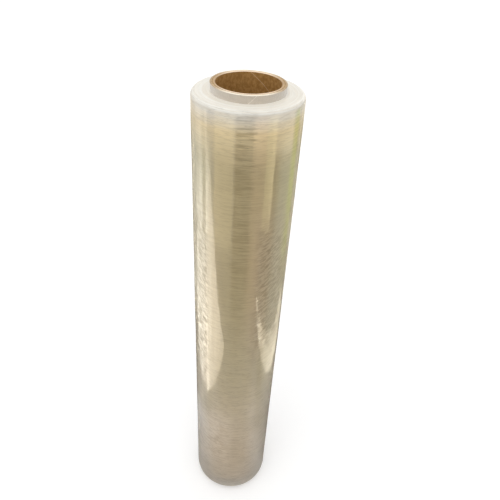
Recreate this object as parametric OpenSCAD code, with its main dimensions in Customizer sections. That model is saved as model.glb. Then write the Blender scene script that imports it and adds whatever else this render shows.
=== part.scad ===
// Roll of clear stretch wrap film, wound on a paperboard tube and standing on end.
// The axis is Z, and the origin is on the axis where the tube's lower rim stands.

/* [Paperboard core] */
// Inside diameter of the tube
core_bore = 50; // [30:1:80]
// Wall of the tube
core_wall = 4; // [2:0.25:10]
// Length of tube that stands past the film at each end
core_reach = 6; // [2:0.5:30]
// Edge break on both rims of a cut end
core_edge = 0.4; // [0.2:0.05:0.5]
// Thickness of the paper liner on each face of the wall, a ring on the cut end
liner = 0.7; // [0.6:0.05:0.9]
// Depth of the line between liner and board on the cut end
liner_line = 0.15; // [0.1:0.05:0.25]
// Rise of the outer ply's seam in one turn round the tube
seam_lead = 180; // [100:5:300]
// Width of the open seam in the outer ply
seam_width = 0.6; // [0.3:0.1:1.5]
// Depth of the open seam in the outer ply
seam_depth = 0.3; // [0.1:0.05:0.6]
// Bearing of the seam half way up the upper end of the tube, from +X
seam_bearing = 277; // [0:1:360]

/* [Wound film] */
// Width of the film, which is the height of the wound part
film_width = 500; // [100:5:600]
// Depth of film on the core
film_build = 15; // [8:0.25:40]
// Depth of film that one modelled turn stands for, and so the step at the tail
turn_pitch = 0.6; // [0.4:0.05:1.2]
// Depth of the furrow between two turns on the end faces
turn_relief = 0.2; // [0.1:0.05:0.4]
// Radius with which the edges of the outer turns roll over
shoulder = 4; // [2:0.25:6]
// Distance between the soft tension bands round the outside
band_pitch = 16; // [10:1:40]
// Depth of the hollows between the tension bands
band_relief = 0.25; // [0.1:0.05:0.4]
// Bearing of the tail, where the outermost turn ends, from +X
tail_bearing = 75; // [0:1:360]

/* [Hidden] */

round_fn = 144;
arc_steps = 6;

core_in_r = core_bore / 2;
core_r = core_in_r + core_wall;
core_length = film_width + 2 * core_reach;
seam_tilt = atan(2 * PI * core_r / seam_lead);

roll_r = core_r + film_build;
// A turn is two half circles about centres this far either side of the axis
half_shift = turn_pitch / 4;
turns = floor((film_build - shoulder) / turn_pitch) - 1;
straight = film_width - 2 * shoulder;
bands = floor(straight / band_pitch);

// Mirrors the outline of the upper end to make that of the lower end
function lower(points) = [for (i = [len(points) - 1:-1:0]) [points[i][0], -points[i][1]]];

function raised(points, z) = [for (p = points) [p[0], p[1] + z]];

// A pressed line between two layers of the wall, on the cut end
function pressed_line(r) = [
    [r - liner_line, 0],
    [r, -liner_line],
    [r + liner_line, 0]
];

// Cut end of the tube, from the bore to the outside
function core_rim() = concat(
    [[core_in_r, -core_edge], [core_in_r + core_edge, 0]],
    pressed_line(core_in_r + liner),
    pressed_line(core_r - liner),
    [[core_r - core_edge, 0], [core_r, -core_edge]]
);

// End face of the wound film out to radius r: a flat ring, the edges of the turns, the shoulder
function turn_edges(r) = concat(
    [[core_r - turn_pitch, 0]],
    [for (i = [turns:-1:1]) each [
        [r - shoulder - i * turn_pitch, 0],
        [r - shoulder - (i - 0.5) * turn_pitch, -turn_relief]
    ]],
    [for (i = [0:arc_steps]) let (a = 90 - 90 * i / arc_steps)
        [r - shoulder + shoulder * cos(a), -shoulder + shoulder * sin(a)]]
);

// Outside of the wound film from top to bottom, with bands of uneven width and depth
function tension_bands(r) = [for (i = [1:bands - 1])
    [r - band_relief * (0.5 + 0.5 * sin(97 * i)),
     film_width - shoulder - straight * (i + 0.25 * sin(137.5 * i)) / bands]
];

module core_section() {
    polygon(concat(raised(core_rim(), core_length), lower(core_rim())));
}

module film_section(r) {
    polygon(concat(raised(turn_edges(r), film_width), tension_bands(r), lower(turn_edges(r))));
}

// The seam in the tube's outer ply, where it shows past the film at height z
module seam(z) {
    rotate([0, 0, seam_bearing - 360 * (core_length - core_reach / 2 - z) / seam_lead])
    translate([core_r, 0, z])
    rotate([-seam_tilt, 0, 0])
    cube([2 * seam_depth, seam_width, 2 * core_reach / cos(seam_tilt)], center = true);
}

// Spiral-wound paperboard tube
module core() {
    color("#a98f6b")
    difference() {
        rotate_extrude($fn = round_fn) core_section();
        seam(core_length - core_reach / 2);
        seam(core_reach / 2);
    }
}

// Half a turn of the roll, swept about a centre beside the axis
module half_roll(side) {
    rotate([0, 0, side > 0 ? 180 : 0])
    translate([-half_shift, 0, 0])
    rotate_extrude(angle = 180, $fn = round_fn)
    film_section(roll_r - (side > 0 ? 1 : 3) * half_shift);
}

// The wound film: two sets of half turns that meet as one spiral and end in the tail's step
module film() {
    color("#d8cdb4")
    translate([0, 0, core_reach])
    rotate([0, 0, tail_bearing])
    difference() {
        union() {
            half_roll(-1);
            half_roll(1);
        }
        translate([0, 0, -1])
        cylinder(r = core_r, h = film_width + 2, $fn = round_fn);
    }
}

core();
film();
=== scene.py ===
"""Looks of a roll of clear stretch wrap film on a paperboard tube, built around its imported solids."""

import math

import bpy
import numpy as np
from mathutils import Matrix, Vector


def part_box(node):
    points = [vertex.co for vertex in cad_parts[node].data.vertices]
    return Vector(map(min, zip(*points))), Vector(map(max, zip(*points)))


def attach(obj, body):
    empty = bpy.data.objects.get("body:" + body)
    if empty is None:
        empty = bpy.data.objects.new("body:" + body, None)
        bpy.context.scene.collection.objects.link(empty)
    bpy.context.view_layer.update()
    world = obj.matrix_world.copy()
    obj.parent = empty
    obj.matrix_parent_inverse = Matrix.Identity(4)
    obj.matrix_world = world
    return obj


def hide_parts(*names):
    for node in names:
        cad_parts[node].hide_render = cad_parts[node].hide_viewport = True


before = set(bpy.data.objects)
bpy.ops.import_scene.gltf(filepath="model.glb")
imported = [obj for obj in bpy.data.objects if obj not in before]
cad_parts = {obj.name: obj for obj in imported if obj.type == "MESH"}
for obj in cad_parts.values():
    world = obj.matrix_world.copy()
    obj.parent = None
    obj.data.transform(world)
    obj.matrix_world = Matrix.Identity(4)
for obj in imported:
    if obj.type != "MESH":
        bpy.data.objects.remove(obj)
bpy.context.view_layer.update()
MM = 0.001

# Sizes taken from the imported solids
CORE_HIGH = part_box("core")[1]
FILM_LOW, FILM_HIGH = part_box("film")
CORE_R = CORE_HIGH.x
CORE_WALL = 4 * MM
BORE_R = CORE_R - CORE_WALL
CORE_TOP = CORE_HIGH.z
FILM_BOTTOM, FILM_TOP = FILM_LOW.z, FILM_HIGH.z
MIDDLE = (FILM_BOTTOM + FILM_TOP) / 2

# Paperboard tube
CORE_COLUMNS = 180
COLUMN_STEP = 360 / CORE_COLUMNS
FIRST_BEARING = 1
BORE_ROWS = 128
FINE_ROWS = 10
FINE_ROW, COARSE_ROW = 0.7 * MM, 12 * MM
CORE_EDGE = 0.4 * MM
LINER = 0.7 * MM
# Half width in millimetres of the lines between the plies on a cut end
PLY_LINE = 0.15
PAPER_RELIEF, CUT_RELIEF = 0.03 * MM, 0.06 * MM
# Degrees by which the outer ply and the bore's ply turn in a metre of height
OUTER_TURN, BORE_TURN = 2.0 / MM, 3.0 / MM
# Columns that the two seams follow, how many degrees the columns beside them close in, and the change of
# radius along them
OUTER_SEAM, BORE_SEAM = 141, 44
OUTER_PINCH, BORE_PINCH = 1.35, 1.1
OUTER_SEAM_DEPTH, BORE_SEAM_DEPTH = -0.25 * MM, 0.2 * MM
# Kinds of row on the tube, which are also its first material slots, and the slots of the other materials
BORE, CUT_END, OUTSIDE = 0, 1, 2
BORE_SEAM_SLOT, WRAPPED_SLOT, OUTER_SEAM_SLOT = 3, 4, 5

# Wound film
TAIL_BEARING = 75
SPIRAL_DROP = 0.6 * MM
TAIL_STEP = 0.3 * MM
# Share of a turn in which the surface eases down past the tail to the turn below
TAIL_EASE = 0.012
RELIEF_ROOM, RELIEF_DEPTH = 0.2 * MM, 0.4 * MM
ROLL_R = FILM_HIGH.x + SPIRAL_DROP * TAIL_BEARING / 360 - RELIEF_ROOM
FILM_GAP = 0.04 * MM
SHOULDER = 4 * MM
TURN_PITCH = 0.6 * MM
FILM_COLUMNS = 144
SIDE_ROWS = 580
SHOULDER_ROWS = 8
FILM_ROUGHNESS, FILM_IOR = 0.38, 1.12

# Angles in degrees past which an edge is sharp
FILM_CREASE, CORE_CREASE = 50, 35

# Where the outer turns lie slack and ripple: bearing, height, half angle, half height, and how much
SLACK = [(-46, 335 * MM, 28, 85 * MM, 1.0), (-128, 100 * MM, 36, 55 * MM, 1.0),
         (-40, 75 * MM, 27, 48 * MM, 0.4), (-148, 300 * MM, 20, 120 * MM, 1.0),
         (95, 390 * MM, 35, 60 * MM, 0.5), (35, 150 * MM, 26, 70 * MM, 0.5),
         (165, 250 * MM, 28, 90 * MM, 0.5), (-40, 190 * MM, 27, 45 * MM, 0.3)]
SLACK_SLANT = 14.0

# Camera, as the photograph was taken
LENS_MM, SENSOR_MM = 35.53, 36.0
CAMERA_AT = Vector((0.0, -366.7, 632.3)) * MM
CAMERA_YAW, CAMERA_PITCH, CAMERA_ROLL = (math.radians(a) for a in (1.35, 36.96, 3.58))


def make_camera():
    """The camera looks down on the roll from the front and leans a little to one side."""
    yaw, pitch, roll = CAMERA_YAW, CAMERA_PITCH, CAMERA_ROLL
    forward = Vector((math.sin(yaw) * math.cos(pitch), math.cos(yaw) * math.cos(pitch), -math.sin(pitch)))
    level = Vector((math.cos(yaw), -math.sin(yaw), 0))
    upward = level.cross(forward)
    right = math.cos(roll) * level + math.sin(roll) * upward
    up = right.cross(forward)
    data = bpy.data.cameras.new("camera")
    data.lens, data.sensor_width = LENS_MM, SENSOR_MM
    data.clip_start, data.clip_end = 0.01, 50
    camera = bpy.data.objects.new("camera", data)
    turn = Matrix((right, up, -forward)).transposed()
    camera.matrix_world = Matrix.Translation(CAMERA_AT) @ turn.to_4x4()
    bpy.context.scene.collection.objects.link(camera)
    bpy.context.scene.camera = camera


class Nodes:
    """A short way to add shader nodes to a material or a world."""

    def __init__(self, tree):
        self.tree = tree
        tree.nodes.clear()

    def add(self, kind, inputs=None, **settings):
        node = self.tree.nodes.new(kind)
        for name, value in settings.items():
            setattr(node, name, value)
        for name, value in (inputs or {}).items():
            self.set(node.inputs[name], value)
        return node

    def set(self, socket, value):
        if isinstance(value, bpy.types.NodeSocket):
            self.tree.links.new(value, socket)
        else:
            socket.default_value = value

    def math(self, operation, a, b=0.0, clamp=False):
        return self.add("ShaderNodeMath", {0: a, 1: b}, operation=operation, use_clamp=clamp).outputs[0]

    def ramp(self, value, low, high, out_low=0.0, out_high=1.0, kind="SMOOTHERSTEP"):
        inputs = {"Value": value, "From Min": low, "From Max": high, "To Min": out_low, "To Max": out_high}
        return self.add("ShaderNodeMapRange", inputs, interpolation_type=kind).outputs[0]

    def mix(self, share, a, b, blend="MIX"):
        node = self.add("ShaderNodeMix", data_type="RGBA", blend_type=blend)
        for slot, value in ((0, share), (6, a), (7, b)):
            self.set(node.inputs[slot], value)
        return node.outputs[2]

    def vector(self, x=0.0, y=0.0, z=0.0):
        return self.add("ShaderNodeCombineXYZ", {0: x, 1: y, 2: z}).outputs[0]

    def place(self):
        """The piece's own coordinates: the whole vector, x, y, z and the distance from the axis."""
        whole = self.add("ShaderNodeTexCoord").outputs["Object"]
        x, y, z = self.add("ShaderNodeSeparateXYZ", {0: whole}).outputs
        flat = self.add("ShaderNodeVectorMath", {0: self.vector(x, y)}, operation="LENGTH")
        return whole, x, y, z, flat.outputs["Value"]

    def noise(self, place, stretch, detail, roughness=0.5):
        """Noise with a stretch in features a metre along each axis."""
        scaled = self.add("ShaderNodeVectorMath", {0: place, 1: stretch}, operation="MULTIPLY").outputs[0]
        inputs = {"Vector": scaled, "Scale": 1.0, "Detail": detail, "Roughness": roughness}
        return self.add("ShaderNodeTexNoise", inputs).outputs[0]

    def hairs(self, noise, width):
        """Thin lines where the noise passes its middle value."""
        away = self.math("ABSOLUTE", self.math("SUBTRACT", noise, 0.5))
        return self.ramp(away, 0.0, width, 1.0, 0.0)

    def unit(self, x, y):
        """Direction from the axis, level with the floor."""
        return self.add("ShaderNodeVectorMath", {0: self.vector(x, y)}, operation="NORMALIZE").outputs[0]

    def sector(self, unit, middle, half, soft):
        """One within half degrees of the middle bearing, with an edge as wide as twice soft."""
        a = math.radians(middle)
        inputs = {0: unit, 1: (math.cos(a), math.sin(a), 0)}
        toward = self.add("ShaderNodeVectorMath", inputs, operation="DOT_PRODUCT").outputs["Value"]
        outer, inner = math.radians(half + soft), math.radians(half - soft)
        return self.ramp(toward, math.cos(outer), math.cos(inner))

    def finish(self, shader):
        kind = "ShaderNodeOutputWorld" if "Background" in shader.node.name else "ShaderNodeOutputMaterial"
        self.add(kind, {"Surface": shader})


def colour(red, green, blue):
    """An sRGB colour from 0 to 255 as the linear colour that a socket takes."""
    def linear(c):
        c /= 255
        return c / 12.92 if c <= 0.04045 else ((c + 0.055) / 1.055) ** 2.4
    return (linear(red), linear(green), linear(blue), 1.0)


def new_material(name):
    """An empty material and the short way to add its nodes."""
    material = bpy.data.materials.new(name)
    material.use_nodes = True
    return material, Nodes(material.node_tree)


def slack_share(n, x, y, z):
    """How slack the outer turns lie, from one at most to zero round those patches."""
    unit = n.unit(x, y)
    share = 0.0
    for bearing, height, half_turn, half_height, most in SLACK:
        away = n.math("ABSOLUTE", n.math("SUBTRACT", z, height))
        level = n.ramp(away, 0.5 * half_height, 1.4 * half_height, most, 0.0)
        patch = n.math("MULTIPLY", n.sector(unit, bearing, 0.8 * half_turn, 0.5 * half_turn), level)
        share = n.math("MAXIMUM", share, patch)
    return share


def streak_and_painted_band_share(n, x, y, z):
    """How strongly the film is streaked: most near the top at the front, least beside that; the extra at the
    front darkens it as a painted reflection.
    """
    unit = n.unit(x, y)
    high = n.ramp(z, 0.24, 0.42)
    # Painted reflection: more dark streaks in the sector facing the camera, deepening the dark band
    # reflected there
    more = n.math("MULTIPLY", n.sector(unit, -90, 9, 4), n.math("MULTIPLY", high, 0.55))
    less = n.math("MULTIPLY", n.sector(unit, -115, 11, 6), n.math("MULTIPLY", high, -0.12))
    return n.math("ADD", 0.18, n.math("ADD", more, less))


def film_hairs(n, unrolled, inset):
    """Hairlines round the roll, fainter on its ends."""
    broad = n.hairs(n.noise(unrolled, (24, 24, 230), 3, 0.6), 0.02)
    middling = n.hairs(n.noise(unrolled, (40, 40, 420), 2, 0.6), 0.06)
    return n.math("MULTIPLY", n.math("ADD", broad, middling), n.ramp(inset, 0.0, 0.006, 0.7, 0.2), True)


def film_streaks(n, x, y, along, unrolled, slack):
    """Streaks round the roll, which slant and turn to scales where the outer turns are slack."""
    slant = n.math("MULTIPLY", n.math("MULTIPLY", x, x), SLACK_SLANT)
    slanted = n.vector(x, y, n.math("SUBTRACT", along, slant))
    streaks = n.ramp(n.noise(unrolled, (55, 55, 640), 3, 0.65), 0.38, 0.62)
    scales = n.ramp(n.noise(slanted, (180, 180, 560), 2, 0.6), 0.43, 0.57)
    return n.math("ADD", n.math("MULTIPLY", streaks, n.math("SUBTRACT", 1.0, slack)),
                  n.math("MULTIPLY", scales, slack))


def film_wear_and_painted_band(n, x, y, z, inset, from_end, slack):
    """How worn the film looks, with the painted reflected band at the front as well: more where it is slack,
    less over the shoulders and on the ends.
    """
    ripple = n.math("MULTIPLY", slack, n.ramp(z, 0.13, 0.24, 0.6, 1.0))
    worn = n.math("MAXIMUM", streak_and_painted_band_share(n, x, y, z), ripple)
    worn = n.math("MULTIPLY", worn, n.ramp(inset, 0.0, 0.005, 1.0, 0.15))
    return n.math("MULTIPLY", worn, n.ramp(from_end, 0.004, 0.016, 0.5, 1.0))


def film_tint(n, whole, unrolled, z, slack, worn, haze_and_painted_glow, white):
    """Champagne film, paler towards its foot and where it is slack or worn, white on its ends; the white and
    the haze are partly painted glow.
    """
    turned = n.noise(unrolled, (8, 8, 620), 3, 0.7)
    end_colour = n.mix(n.ramp(turned, 0.3, 0.7), colour(241, 235, 222), colour(251, 249, 241))
    tint = n.mix(n.noise(whole, (14, 14, 30), 3), colour(193, 186, 154), colour(203, 196, 165))
    tint = n.mix(n.ramp(z, 0.05, 0.27, 1, 0), tint, colour(217, 207, 190))
    tint = n.mix(n.math("MULTIPLY", worn, 0.2), tint, colour(234, 226, 202))
    slack_tint = n.mix(n.ramp(z, 0.13, 0.26), colour(250, 243, 233), colour(214, 203, 184))
    tint = n.mix(n.math("MULTIPLY", slack, 0.7), tint, slack_tint)
    # Painted glow: a warm haze towards the ends, much weaker at the lower end
    tint = n.mix(haze_and_painted_glow, tint, colour(240, 220, 175))
    tint = n.mix(white, tint, end_colour)
    return n.mix(n.ramp(z, 0.0, 0.09, 0.8, 0), tint, colour(228, 222, 214))


def film_material():
    """Clear film wound many turns deep: hazy and champagne, whitened where the turns end, partly as painted
    glow, and far less at the lower end as painted shade.
    """
    material, n = new_material("stretch_film")
    whole, x, y, z, radius = n.place()
    inset = n.math("SUBTRACT", ROLL_R, radius)
    side = n.math("SIGN", n.math("SUBTRACT", z, MIDDLE))
    along = n.math("ADD", z, n.math("MULTIPLY", inset, side))
    unrolled = n.vector(x, y, along)
    from_end = n.math("MINIMUM", n.math("SUBTRACT", z, FILM_BOTTOM), n.math("SUBTRACT", FILM_TOP, z))

    slack = slack_share(n, x, y, z)
    hairs = film_hairs(n, unrolled, inset)
    worn = film_wear_and_painted_band(n, x, y, z, inset, from_end, slack)
    streaks = n.math("MULTIPLY", film_streaks(n, x, y, along, unrolled, slack), worn)

    # White and hazy towards the ends, partly turned edges and partly painted glow; the lower end much less,
    # as painted shade
    drift = n.math("MULTIPLY", n.math("SUBTRACT", n.noise(unrolled, (9, 9, 170), 3, 0.6), 0.5), 0.008)
    depth = n.math("ADD", from_end, drift)
    # Painted shade: the lower end gets a fifth of the upper end's white and haze
    share = n.math("ADD", 0.2, n.math("MULTIPLY", n.math("MAXIMUM", side, 0.0), 0.8))
    white = n.math("MULTIPLY", n.ramp(depth, 0.001, 0.018, 1, 0, "SMOOTHSTEP"), share)
    haze_and_painted_glow = n.math("MULTIPLY", n.ramp(depth, 0.012, 0.052, 1, 0, "SMOOTHSTEP"), share)

    tint = film_tint(n, whole, unrolled, z, slack, worn, haze_and_painted_glow, white)
    fine = n.math("MULTIPLY", hairs, n.ramp(z, 0.15, 0.40, 0.60, 0.35))
    base = n.mix(fine, tint, n.mix(1.0, tint, colour(190, 187, 182), "MULTIPLY"))
    # The streaks darken the colour, at the front partly as painted reflection
    base = n.mix(streaks, base, n.mix(1.0, base, colour(205, 201, 195), "MULTIPLY"))
    clear = n.ramp(haze_and_painted_glow, 0.0, 1.0, 0.74, 0.08, "LINEAR")

    matt = n.ramp(from_end, 0.001, 0.006, 1.0, 0.0)
    gloss = n.math("ADD", 0.02, n.math("MULTIPLY", hairs, 0.25))
    gloss = n.math("ADD", gloss, n.math("MULTIPLY", matt, 0.30))
    coat = n.ramp(matt, 0.0, 1.0, 1.0, 0.4, "LINEAR")
    coat = n.math("MULTIPLY", coat, n.ramp(streaks, 0.05, 0.65, 1.0, 0.3))
    surface = n.add("ShaderNodeBsdfPrincipled", {
        "Base Color": base, "Roughness": FILM_ROUGHNESS, "IOR": FILM_IOR, "Transmission Weight": clear,
        "Coat Weight": coat, "Coat Roughness": gloss, "Coat IOR": 1.5,
    })
    n.finish(surface.outputs[0])
    return material


def inner_film_material():
    """The innermost turn against the tube, clear enough to show the board through the roll."""
    material, n = new_material("inner_film")
    surface = n.add("ShaderNodeBsdfPrincipled", {
        "Base Color": colour(250, 248, 244), "Roughness": FILM_ROUGHNESS, "IOR": FILM_IOR,
        "Transmission Weight": 1.0,
    })
    n.finish(surface.outputs[0])
    return material


def board_material(name, light, dark, bands=None, sheen=0.0):
    """Recycled paperboard: mottled, with fibres and small specks; bands colour a cut end by radius."""
    material, n = new_material(name)
    whole, x, y, z, radius = n.place()
    mottle = n.noise(whole, (330, 330, 330), 4, 0.6)
    fibres = n.noise(n.vector(n.math("ADD", x, y), n.math("SUBTRACT", x, y), z), (900, 260, 320), 4, 0.7)
    specks = n.hairs(n.noise(whole, (420, 420, 420), 3, 0.6), 0.02)
    grain = n.math("ADD", n.math("MULTIPLY", mottle, 0.55), n.math("MULTIPLY", fibres, 0.45))
    blend = n.ramp(grain, 0.38, 0.62)
    base = n.mix(blend, dark, light)
    base = n.mix(n.math("MULTIPLY", specks, 0.18), base, n.mix(1.0, base, colour(170, 160, 150), "MULTIPLY"))
    sides = n.ramp(n.math("ABSOLUTE", x), 0.4 * CORE_R, CORE_R, 1.0, 0.2)
    for near, far, tone in bands or ():
        wobble = n.math("ADD", radius, n.math("MULTIPLY", n.math("SUBTRACT", mottle, 0.5), 0.5 * MM))
        inside = n.math("MULTIPLY", n.ramp(wobble, near - 0.15 * MM, near + 0.15 * MM),
                        n.ramp(wobble, far - 0.15 * MM, far + 0.15 * MM, 1, 0))
        base = n.mix(n.math("MULTIPLY", inside, sides), base, tone)
    height = n.math("ADD", fibres, n.math("MULTIPLY", specks, -0.3))
    bump = n.add("ShaderNodeBump", {"Height": height, "Strength": 0.6, "Distance": 0.00025}).outputs[0]
    surface = n.add("ShaderNodeBsdfPrincipled", {
        "Base Color": base, "Roughness": 0.82, "Specular IOR Level": 0.25, "Normal": bump,
        "Sheen Weight": sheen, "Sheen Roughness": 0.6,
    })
    n.finish(surface.outputs[0])
    return material


def lattice_noise(u, v, cells_u, cells_v, seed):
    """Smooth noise from -1 to 1 on a grid that closes on itself along u; u and v run from 0 to 1."""
    knots = np.random.default_rng(seed).uniform(-1, 1, (cells_u, cells_v + 2))
    a, b = u * cells_u, np.clip(v, 0, 1) * cells_v
    i, j = np.floor(a).astype(int), np.floor(b).astype(int)
    s, t = a - i, b - j
    s, t = s * s * (3 - 2 * s), t * t * (3 - 2 * t)
    i0, i1 = i % cells_u, (i + 1) % cells_u
    low = knots[i0, j] * (1 - s) + knots[i1, j] * s
    high = knots[i0, j + 1] * (1 - s) + knots[i1, j + 1] * s
    return low * (1 - t) + high * t


def film_outline():
    """Section of the wound film from the core, over the upper end, down the side and back to the core.
    Each row is radius, height, the outward direction of its relief, and the share of a turn's furrow."""
    rows = []
    inner, flat = CORE_R + FILM_GAP, ROLL_R - SHOULDER
    count = 2 * round((flat - inner) / TURN_PITCH)
    for k in range(count):
        rows.append((inner + (flat - inner) * k / count, FILM_TOP, 0.0, 1.0, k % 2))
    for k in range(SHOULDER_ROWS):
        a = math.pi / 2 * (1 - k / SHOULDER_ROWS)
        across, up = math.cos(a), math.sin(a)
        rows.append((flat + SHOULDER * across, FILM_TOP - SHOULDER + SHOULDER * up, across, up, 0))
    ends = list(rows)
    high, low = FILM_TOP - SHOULDER, FILM_BOTTOM + SHOULDER
    for k in range(SIDE_ROWS + 1):
        rows.append((ROLL_R, high + (low - high) * k / SIDE_ROWS, 1.0, 0.0, 0))
    for r, z, across, up, furrow in reversed(ends):
        rows.append((r, FILM_TOP + FILM_BOTTOM - z, across, -up, furrow))
    return np.array(rows)


def film_relief(u, rows):
    """Depth of the film's relief at each row and bearing: tension bands, wrinkles, slack ripples, turns."""
    r, z, across, furrow = rows[:, 0:1], rows[:, 1:2], rows[:, 2:3], rows[:, 4:5]
    v = (z - FILM_BOTTOM) / (FILM_TOP - FILM_BOTTOM)
    bearing = TAIL_BEARING + 360 * u
    v = v + 0.005 * lattice_noise(u, v, 5, 24, 31) + 0.002 * lattice_noise(u, v, 13, 70, 32)
    side = (0.10 * lattice_noise(u, v, 3, 16, 11)
            + 0.018 * lattice_noise(u, v, 4, 62, 12)
            + 0.006 * lattice_noise(u, v, 12, 150, 13)
            + 0.004 * lattice_noise(u, v, 20, 285, 14))
    slack = 0
    for turn, height, half_turn, half_height, most in SLACK:
        off = (bearing - turn + 180) % 360 - 180
        slack = slack + most * np.exp(-(off / half_turn) ** 2 - ((z - height) / half_height) ** 2)
    slanted = v - SLACK_SLANT * (ROLL_R * np.cos(np.radians(bearing))) ** 2 / (FILM_TOP - FILM_BOTTOM)
    side = side + np.minimum(slack, 1) * (0.055 * lattice_noise(u, slanted, 34, 120, 15)
                                          + 0.055 * lattice_noise(u, slanted, 60, 230, 16))
    w = (r - CORE_R) / (ROLL_R - CORE_R)
    end = (0.12 * lattice_noise(u, w, 2, 5, 21)
           + 0.06 * lattice_noise(u, w, 3, 12, 22)
           - 0.07 * furrow * (0.6 + 0.4 * lattice_noise(u, w, 4, 30, 23)))
    side = np.clip(side, -RELIEF_DEPTH / MM, RELIEF_ROOM / MM)
    return (side * across + end * (1 - across)) * MM


def make_mesh(name, vertices, faces, materials, slots, sharp_degrees):
    """A smooth-shaded piece whose edges turn sharp past an angle."""
    mesh = bpy.data.meshes.new(name)
    mesh.from_pydata(vertices, [], faces)
    mesh.update()
    for material in materials:
        mesh.materials.append(material)
    mesh.polygons.foreach_set("use_smooth", [True] * len(faces))
    mesh.polygons.foreach_set("material_index", slots)
    mesh.set_sharp_from_angle(angle=math.radians(sharp_degrees))
    piece = bpy.data.objects.new(name, mesh)
    bpy.context.scene.collection.objects.link(piece)
    return piece


def tail_share(rows):
    """How open the tail's step is at each row: fully down the side, closed over the shoulders."""
    from_end = np.minimum(FILM_TOP - rows[:, 1], rows[:, 1] - FILM_BOTTOM)
    return (np.clip((from_end - SHOULDER) / (2 * SHOULDER), 0, 1) * (rows[:, 2] > 0.99))[:, None]


def film_points(rows, tail):
    """The film's points, row by row: each turn is two half circles about centres beside the axis."""
    columns = np.arange(FILM_COLUMNS + 1) / FILM_COLUMNS
    u = np.broadcast_to(columns, (len(rows), len(columns)))
    relief = film_relief(u, rows)
    outer = np.clip((rows[:, 0:1] - CORE_R) / (ROLL_R - SHOULDER - CORE_R), 0, 1)
    half = 0.25 * np.cos(2 * math.pi * u)
    spiral = SPIRAL_DROP * np.where(u < 0.5, 0.75 + half, 0.25 - half)
    eased = (SPIRAL_DROP - TAIL_STEP * tail) * np.exp(-u / TAIL_EASE)
    radius = rows[:, 0:1] + relief * rows[:, 2:3] - outer * (spiral - eased)
    height = rows[:, 1:2] + (relief - RELIEF_ROOM) * rows[:, 3:4]
    bearing = math.radians(TAIL_BEARING) + 2 * math.pi * u
    return np.stack([radius * np.cos(bearing), radius * np.sin(bearing), height], -1)


def film_faces(tail):
    """Faces between the rows, the material slot of each, and the points that they use. The last column
    is welded to the first where the tail's step is closed, and joined to it by a narrow face elsewhere."""
    count, wide = len(tail), FILM_COLUMNS + 1
    index = np.arange(count * wide).reshape(count, wide)
    welded = tail[:, 0] <= 0
    index[welded, -1] = index[welded, 0]
    faces, slots = [], []
    for k in range(count):
        a, b = index[k], index[(k + 1) % count]
        faces += [(a[c], b[c], b[c + 1], a[c + 1]) for c in range(FILM_COLUMNS)]
        corners = list(dict.fromkeys((a[-1], b[-1], b[0], a[0])))
        if len(corners) > 2:
            faces.append(tuple(corners))
        slots += [int(k == count - 1)] * (len(faces) - len(slots))
    used = np.unique(index)
    order = np.full(index.max() + 1, -1)
    order[used] = np.arange(len(used))
    return [tuple(int(order[i]) for i in face) for face in faces], slots, used


def make_film():
    """One skin round the wound film: both ends, the side with its tail, and the wall on the core."""
    rows = film_outline()
    tail = tail_share(rows)
    faces, slots, used = film_faces(tail)
    points = film_points(rows, tail).reshape(-1, 3)[used]
    materials = [film_material(), inner_film_material()]
    film = make_mesh("film_roll", points.tolist(), faces, materials, slots, FILM_CREASE)
    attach(film, "root")
    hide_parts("film")


def rim_profile():
    """Radius and depth of the rows across a cut end of the tube, from the bore to the outside."""
    inner, outer = BORE_R / MM, CORE_R / MM
    liner, edge = LINER / MM, CORE_EDGE / MM
    # Lines between the plies: the radius, and the depths of the near side, the line and the far side
    lines = ((inner + liner, 0.02, 0.15, 0.01), (inner + 1.5, 0.03, 0.10, 0.0),
             (inner + 2.45, 0.02, 0.09, 0.01), (outer - liner, 0.02, 0.15, 0.0))
    rows = [(inner + edge, 0.0)]
    for r, near, line, far in lines:
        rows += [(r - PLY_LINE, near), (r, line), (r + PLY_LINE, far)]
    return rows + [(outer - edge, 0.0)]


def core_rows():
    """Radius, height, turn of the ply and kind of each row: across the upper end from the bore, down the
    outside, back across the lower end and up the bore."""
    rim = rim_profile()
    fine = [CORE_EDGE + FINE_ROW * k for k in range(FINE_ROWS)]
    coarse = [COARSE_ROW * k for k in range(1, int(CORE_TOP / COARSE_ROW))]
    depths = fine + coarse + [CORE_TOP - d for d in reversed(fine)]
    rows = [(r * MM, CORE_TOP - low * MM, OUTER_TURN, CUT_END) for r, low in rim]
    rows += [(CORE_R, CORE_TOP - depth, OUTER_TURN, OUTSIDE) for depth in depths]
    rows += [(r * MM, low * MM, OUTER_TURN, CUT_END) for r, low in reversed(rim)]
    rows += [(BORE_R, CORE_EDGE + (CORE_TOP - 2 * CORE_EDGE) * k / BORE_ROWS, BORE_TURN, BORE)
             for k in range(BORE_ROWS + 1)]
    return rows


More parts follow.
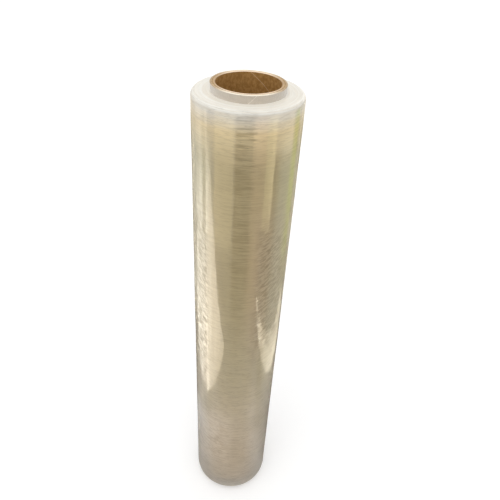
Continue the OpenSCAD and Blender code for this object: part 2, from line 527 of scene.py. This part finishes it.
def core_points(rows):
    """The tube's points, row by row: columns follow the plies, so that the seams run along them."""
    r, z, turn, kind = (np.array(rows)[:, k:k + 1] for k in range(4))
    bearing = FIRST_BEARING + COLUMN_STEP * np.arange(CORE_COLUMNS) + (z - CORE_TOP) * turn
    u = (bearing / 360) % 1
    rough = lattice_noise(u, z / CORE_TOP, 40, 160, 41)
    radius = r + np.where(kind == CUT_END, 0, 1) * PAPER_RELIEF * rough * np.where(kind == OUTSIDE, -1, 1)
    cut = np.where(kind == CUT_END, 1, 0) * CUT_RELIEF
    height = np.clip(z + cut * lattice_noise(u, r / CORE_R, 60, 24, 42), 0, CORE_TOP)
    for seam_kind, column, pinch, depth in ((OUTSIDE, OUTER_SEAM, OUTER_PINCH, OUTER_SEAM_DEPTH),
                                            (BORE, BORE_SEAM, BORE_PINCH, BORE_SEAM_DEPTH)):
        on = kind[:, 0] == seam_kind
        radius[on, column] += depth
        bearing[on, column - 1] += pinch
        bearing[on, column + 1] -= pinch
    angle = np.radians(bearing)
    return np.stack([radius * np.cos(angle), radius * np.sin(angle), height], -1)


def core_slot(slot, column, low):
    """Material slot of a face: the seams and the outside under the film have their own."""
    if slot == OUTSIDE and FILM_BOTTOM < low < FILM_TOP - MM:
        return WRAPPED_SLOT
    if slot == OUTSIDE and column in (OUTER_SEAM - 1, OUTER_SEAM):
        return OUTER_SEAM_SLOT
    if slot == BORE and column in (BORE_SEAM - 1, BORE_SEAM):
        return BORE_SEAM_SLOT
    return slot


def core_faces(rows):
    """Faces between the rows and their material slots. The bore's plies turn faster than the outer ones,
    so its lowest row is joined some columns further round."""
    shift = round((BORE_TURN - OUTER_TURN) * CORE_TOP / COLUMN_STEP) % CORE_COLUMNS
    first_bore = [kind for r, z, turn, kind in rows].index(BORE)
    faces, slots = [], []
    for here in range(len(rows)):
        after = (here + 1) % len(rows)
        skip = shift if after == first_bore else 0
        slot = rows[here][3] if rows[here][3] == rows[after][3] else CUT_END
        low = min(rows[here][1], rows[after][1])
        for c in range(CORE_COLUMNS):
            d = (c + 1) % CORE_COLUMNS
            cc, dd = (c + skip) % CORE_COLUMNS, (d + skip) % CORE_COLUMNS
            faces.append((here * CORE_COLUMNS + c, here * CORE_COLUMNS + d,
                          after * CORE_COLUMNS + dd, after * CORE_COLUMNS + cc))
            slots.append(core_slot(slot, c, low))
    return faces, slots


def core_materials():
    """The tube's materials, in the order of their slots."""
    bore = board_material("bore_paper", colour(190, 147, 87), colour(162, 119, 62))
    rim_board = board_material("rim_board", colour(187, 154, 107), colour(159, 126, 83), bands=(
        (BORE_R - MM, BORE_R + 1.7 * MM, colour(255, 233, 204)),
        (CORE_R - 1.6 * MM, CORE_R + MM, colour(255, 245, 226))))
    outside = board_material("outer_paper", colour(207, 196, 180), colour(199, 188, 172), sheen=1.0)
    bore_seam = board_material("bore_seam", colour(216, 186, 142), colour(198, 164, 120))
    # Painted light: the outside under the film is a lighter, warmer copy of the bare outer paper, so it
    # shows brighter through the film
    wrapped = board_material("wrapped_paper_painted_light", colour(240, 226, 204), colour(230, 215, 192))
    outer_seam = board_material("outer_seam", colour(236, 228, 216), colour(222, 214, 202))
    return [bore, rim_board, outside, bore_seam, wrapped, outer_seam]


def make_core():
    """The spiral-wound tube, with its cut ends, its outside and its bore in one skin."""
    rows = core_rows()
    faces, slots = core_faces(rows)
    points = core_points(rows).reshape(-1, 3)
    core = make_mesh("core_tube", points.tolist(), faces, core_materials(), slots, CORE_CREASE)
    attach(core, "root")
    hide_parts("core")


def rounded(outline):
    """Cuts the corners of a closed outline."""
    return [tuple(a * s + b * (1 - s) for a, b in zip(p, q))
            for p, q in zip(outline, outline[1:] + outline[:1]) for s in (0.75, 0.25)]


def reflected_only(name, vertices, faces, shader):
    """A stage surface that shows only in reflections."""
    mesh = bpy.data.meshes.new(name)
    mesh.from_pydata(vertices, [], faces)
    card = bpy.data.objects.new(name, mesh)
    bpy.context.scene.collection.objects.link(card)
    material, n = new_material(name)
    n.finish(shader(n))
    mesh.materials.append(material)
    card.visible_camera = card.visible_diffuse = card.visible_shadow = card.visible_transmission = False


# Lit ground round the roll, as its reflections show it: outlines in millimetres
LEFT_LIGHT = [(-140, -240), (-155, -250), (-450, -260), (-740, -240), (-865, -200), (-1010, -135),
              (-1700, 0), (-1500, 1000), (-435, 325), (-325, 245), (-250, 170), (-205, 120), (-185, 20),
              (-160, -90), (-150, -175), (-140, -210)]
RIGHT_LIGHT = [(290, -305), (270, -300), (258, -250), (230, -70), (190, 50), (180, 100), (175, 150),
               (185, 200), (220, 240), (285, 260), (310, 260), (300, 190), (292, 130), (292, -235)]
# Sectors of the ground: middle bearing, half angle and softness of the edges in degrees, a reach in metres,
# and the colours of the light nearer and farther than that reach
SECTORS = [(-134, 22, 1.2, 0.55, (0.85, 0.80, 0.74), (2.85, 2.45, 1.65)),
           (-92, 17, 1.2, 0.55, (0.31, 0.28, 0.23), (0.15, 0.14, 0.12)),
           (-61, 14, 1.2, 0.97, (1.35, 0.92, 0.68), (2.75, 1.87, 1.13)),
           (-41, 6, 1.2, 0.61, (0.78, 0.74, 0.66), (3.2, 2.7, 1.5)),
           (-31, 5, 1.2, 0.61, (0.50, 0.47, 0.42), (4.2, 3.5, 2.0)),
           (-4, 23, 1.2, 1.0, (0.18, 0.12, 0.08), (2.15, 1.85, 1.33)),
           (80, 60, 1.2, 1.25, (0.50, 0.44, 0.32), (1.0, 0.92, 0.77)),
           (28, 8, 4.5, 0.50, (0.5, 0.45, 0.30), (0.75, 0.90, 0.06)),
           (51, 3, 3.0, 0.50, (0.5, 0.45, 0.35), (1.0, 0.93, 0.72)),
           (132, 11, 1.2, 1.25, (1.0, 0.94, 0.80), (1.0, 0.9, 0.75))]


# A brighter line across the left lamp
BEAD_Y = -46 * MM

# Surfaces of the stage: reaches in metres, and heights just over the floor that keep them apart
FLOOR_REACH, GROUND_REACH, SHADE_REACH = 12, 5, 1
LAMP_HEIGHT, GROUND_HEIGHT, SHADE_HEIGHT = 3 * MM, 2 * MM, 1 * MM
RING_POINTS = 64
KEY_DIRECTION = (0.12, 0.38, -0.9)
SOFTBOX_BEARINGS = (-150, -20, 60, 150)
SOFTBOX_AWAY, SOFTBOX_HALF_WIDTH = 2.6, 0.35
SOFTBOX_LOW, SOFTBOX_HIGH = 0.3, 2.2
SOFTBOX_POWER = 3.0


def lamp_light(n, power, tone):
    """Light of one colour."""
    return n.add("ShaderNodeEmission", {"Color": tone, "Strength": power}).outputs[0]


def dapple(n, whole):
    """Soft unevenness of a lamp, about one."""
    return n.ramp(n.noise(whole, (11, 11, 11), 4, 0.6), 0.3, 0.7, 0.85, 1.1)


def softbox_glow(n):
    """The light of a softbox, nearly white and softly uneven."""
    whole = n.place()[0]
    return lamp_light(n, n.math("MULTIPLY", dapple(n, whole), SOFTBOX_POWER), (1.0, 0.97, 0.91, 1))


def bearing_share(n, unit, middle, half, soft, gain):
    """A lamp's factor: one, with a gain added to it in one sector."""
    return n.math("ADD", 1.0, n.math("MULTIPLY", n.sector(unit, middle, half, soft), gain))


def left_glow(n):
    """The left lamp: warmer and brighter towards the camera, and striped far off."""
    whole, x, y, z, radius = n.place()
    unit = n.unit(x, y)
    far = n.ramp(radius, 0.5, 0.75)
    beyond = n.ramp(radius, 1.02, 1.08)
    near = n.math("MULTIPLY", n.ramp(radius, 0.95, 1.15, 1.0, 0.0), n.ramp(radius, 0.55, 0.75, 0.5, 1.0))
    bead = n.ramp(n.math("ABSOLUTE", n.math("SUBTRACT", y, BEAD_Y)), 0.004, 0.014, 0.7, 0.0)
    between = n.math("MULTIPLY", far, n.ramp(radius, 0.96, 1.04, 1.0, 0.0))
    power = n.math("MULTIPLY", dapple(n, whole), 4.7)
    power = n.math("MULTIPLY", power, n.ramp(radius, 0.55, 1.05, 1.0, 0.42))
    power = n.math("MULTIPLY", power, bearing_share(n, unit, -140, 30, 22, 0.25))
    power = n.math("MULTIPLY", power, n.ramp(radius, 0.14, 0.34, 0.62, 1.0))
    power = n.math("MULTIPLY", power, n.math("ADD", 1.0, bead))
    for share, middle, half, soft, factor in (
            (far, 162, 4, 2, 0.3), (between, 176, 5, 2, -0.6), (far, -173, 4, 2, 0.3),
            (beyond, -179, 1.5, 1, 0.6), (far, 143, 4, 2, -0.3), (near, 140, 20, 12, -0.4)):
        stripe = n.math("MULTIPLY", n.sector(unit, middle, half, soft), n.math("MULTIPLY", share, factor))
        power = n.math("MULTIPLY", power, n.math("ADD", 1.0, stripe))
    tone = n.mix(n.sector(unit, -140, 40, 15), (1.0, 0.93, 0.80, 1), (1.0, 0.89, 0.73, 1))
    tone = n.mix(n.math("MULTIPLY", between, n.sector(unit, 177, 4, 2)), tone, (1.0, 0.84, 0.68, 1))
    return lamp_light(n, power, tone)


def right_glow(n):
    """The right lamp, dimmer beside and behind the roll, brighter in its thin arm towards the camera."""
    whole, x, y, z, radius = n.place()
    unit = n.unit(x, y)
    power = n.math("MULTIPLY", dapple(n, whole), 3.7)
    for middle, half, soft, gain in ((45, 25, 12, -0.42), (5, 14, 8, -0.25), (-40, 12, 8, 0.8)):
        power = n.math("MULTIPLY", power, bearing_share(n, unit, middle, half, soft, gain))
    return lamp_light(n, power, (1.0, 0.89, 0.69, 1))


def ground_sectors(n):
    """Bright and dark sectors of the ground, fading out close to the roll; clear between them."""
    whole, x, y, z, radius = n.place()
    unit = n.unit(x, y)
    cover, light = 0.0, (0, 0, 0, 1)
    for middle, half, soft, reach, near_tone, far_tone in SECTORS:
        share = n.sector(unit, middle, half, soft)
        far = n.ramp(radius, 0.92 * reach, 1.08 * reach)
        cover = n.math("MAXIMUM", cover, share)
        light = n.mix(share, light, n.mix(far, near_tone + (1,), far_tone + (1,)))
    cover = n.math("MULTIPLY", cover, n.ramp(radius, 0.22, 0.48))
    clear = n.add("ShaderNodeBsdfTransparent").outputs[0]
    return n.add("ShaderNodeMixShader", {0: cover, 1: clear, 2: lamp_light(n, 1.0, light)}).outputs[0]


def shade(n):
    """Dim ground close behind and beside the roll, where the other rolls stood, and round its foot."""
    whole, x, y, z, radius = n.place()
    right = n.math("ADD", y, n.math("MULTIPLY", x, 0.6))
    behind = n.math("MULTIPLY", n.ramp(right, -0.04, 0.05), n.ramp(radius, 0.28, 0.50, 1, 0))
    ring = n.math("MULTIPLY", n.ramp(radius, 0.10, 0.15), n.ramp(radius, 0.23, 0.32, 1, 0))
    left = n.math("MULTIPLY", n.sector(n.unit(x, y), 168, 42, 6), n.math("MULTIPLY", ring, 0.8))
    cover = n.math("MAXIMUM", n.math("MAXIMUM", behind, left), n.ramp(radius, 0.06, 0.16, 0.8, 0))
    clear = n.add("ShaderNodeBsdfTransparent").outputs[0]
    dim = lamp_light(n, 0.28, (1.0, 0.91, 0.78, 1))
    return n.add("ShaderNodeMixShader", {0: cover, 1: clear, 2: dim}).outputs[0]


def seen_rays(n):
    """One for camera, glossy and transmission rays, and zero for the rest."""
    rays = n.add("ShaderNodeLightPath").outputs
    seen = n.math("MAXIMUM", rays["Is Glossy Ray"], rays["Is Transmission Ray"])
    return n.math("MAXIMUM", rays["Is Camera Ray"], seen)


def make_floor():
    """A floor that looks nearly white and throws back less light than it shows."""
    bpy.ops.mesh.primitive_circle_add(vertices=RING_POINTS, radius=FLOOR_REACH, fill_type="NGON")
    floor = bpy.context.object
    floor.name = "floor"
    material, n = new_material("floor")
    seen = seen_rays(n)
    tone = n.mix(seen, (0.35, 0.34, 0.33, 1), (0.86, 0.86, 0.86, 1))
    matt = n.add("ShaderNodeBsdfDiffuse", {"Color": tone})
    lift = n.add("ShaderNodeEmission", {"Color": (1, 1, 1, 1), "Strength": n.math("MULTIPLY", seen, 0.20)})
    n.finish(n.add("ShaderNodeAddShader", {0: matt.outputs[0], 1: lift.outputs[0]}).outputs[0])
    floor.data.materials.append(material)


def make_studio():
    """An even white studio, and a broad soft key light from above and a little from the front."""
    world = bpy.data.worlds.new("studio")
    bpy.context.scene.world = world
    world.use_nodes = True
    n = Nodes(world.node_tree)
    strength = n.math("ADD", 0.80, n.math("MULTIPLY", seen_rays(n), 0.20))
    n.finish(n.add("ShaderNodeBackground", {"Color": (1, 1, 1, 1), "Strength": strength}).outputs[0])

    sun = bpy.data.lights.new("key", "SUN")
    sun.energy, sun.angle = 0.82, math.radians(50)
    lamp = bpy.data.objects.new("key", sun)
    lamp.rotation_euler = Vector(KEY_DIRECTION).to_track_quat("-Z", "Y").to_euler()
    bpy.context.scene.collection.objects.link(lamp)


def make_reflections():
    """Lamps and bright and dark ground, which only reflections show."""
    lamps = (("left_light", LEFT_LIGHT, left_glow), ("right_light", RIGHT_LIGHT, right_glow))
    for name, outline, shader in lamps:
        points = [(px * MM, py * MM, LAMP_HEIGHT) for px, py in rounded(outline)]
        reflected_only(name, points, [tuple(range(len(points)))], shader)
    grounds = (("ground", GROUND_REACH, GROUND_HEIGHT, ground_sectors),
               ("shade", SHADE_REACH, SHADE_HEIGHT, shade))
    for name, reach, height, shader in grounds:
        turns = np.linspace(0, 2 * math.pi, RING_POINTS, endpoint=False)
        ring = [(reach * math.cos(a), reach * math.sin(a), height) for a in turns]
        reflected_only(name, ring, [tuple(range(RING_POINTS))], shader)
    low, high = Vector((0, 0, SOFTBOX_LOW)), Vector((0, 0, SOFTBOX_HIGH))
    for k, bearing in enumerate(SOFTBOX_BEARINGS):
        a = math.radians(bearing)
        out = Vector((math.cos(a), math.sin(a), 0)) * SOFTBOX_AWAY
        across = Vector((-math.sin(a), math.cos(a), 0)) * SOFTBOX_HALF_WIDTH
        corners = [out - across + low, out + across + low, out + across + high, out - across + high]
        reflected_only(f"softbox_{k}", [tuple(c) for c in corners], [(0, 1, 2, 3)], softbox_glow)


make_camera()
make_floor()
make_studio()
make_reflections()
make_film()
make_core()

bpy.context.scene.view_settings.view_transform = "Standard"
